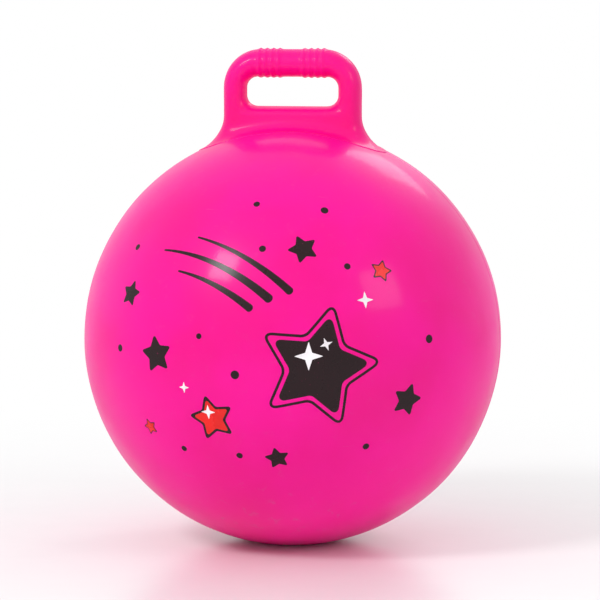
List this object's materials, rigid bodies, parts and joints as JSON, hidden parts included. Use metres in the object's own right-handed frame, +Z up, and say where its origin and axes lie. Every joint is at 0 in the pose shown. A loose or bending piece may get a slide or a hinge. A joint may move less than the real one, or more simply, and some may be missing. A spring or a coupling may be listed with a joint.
{
  "type": "hopper ball",
  "caption": "Inflated vinyl hopper ball that a child sits on and holds by the loop handle on its top, with a push-in air valve in its back.",
  "frame": {"origin": "floor level, at the middle of the flat patch under the ball", "axes": "+Z up through the handle, +X along the grip bar, the printed side faces -Y and the valve faces +Y"},
  "size_m": [0.4498, 0.4513, 0.5329],
  "materials": {
    "pink_vinyl": "satin",
    "handle_vinyl": "satin",
    "valve_vinyl": "satin",
    "white_plug": "satin"
  },
  "bodies": {
    "ball": {"ball_skin": "pink_vinyl", "handle": "handle_vinyl", "valve_seat": "valve_vinyl"},
    "plug": {"valve_plug": "white_plug"}
  },
  "joints": [
    {"name": "plug_pull", "type": "slide", "parent": "ball", "child": "plug", "axis": [0, 1, 0], "range_m": [0, 0.022]}
  ]
}
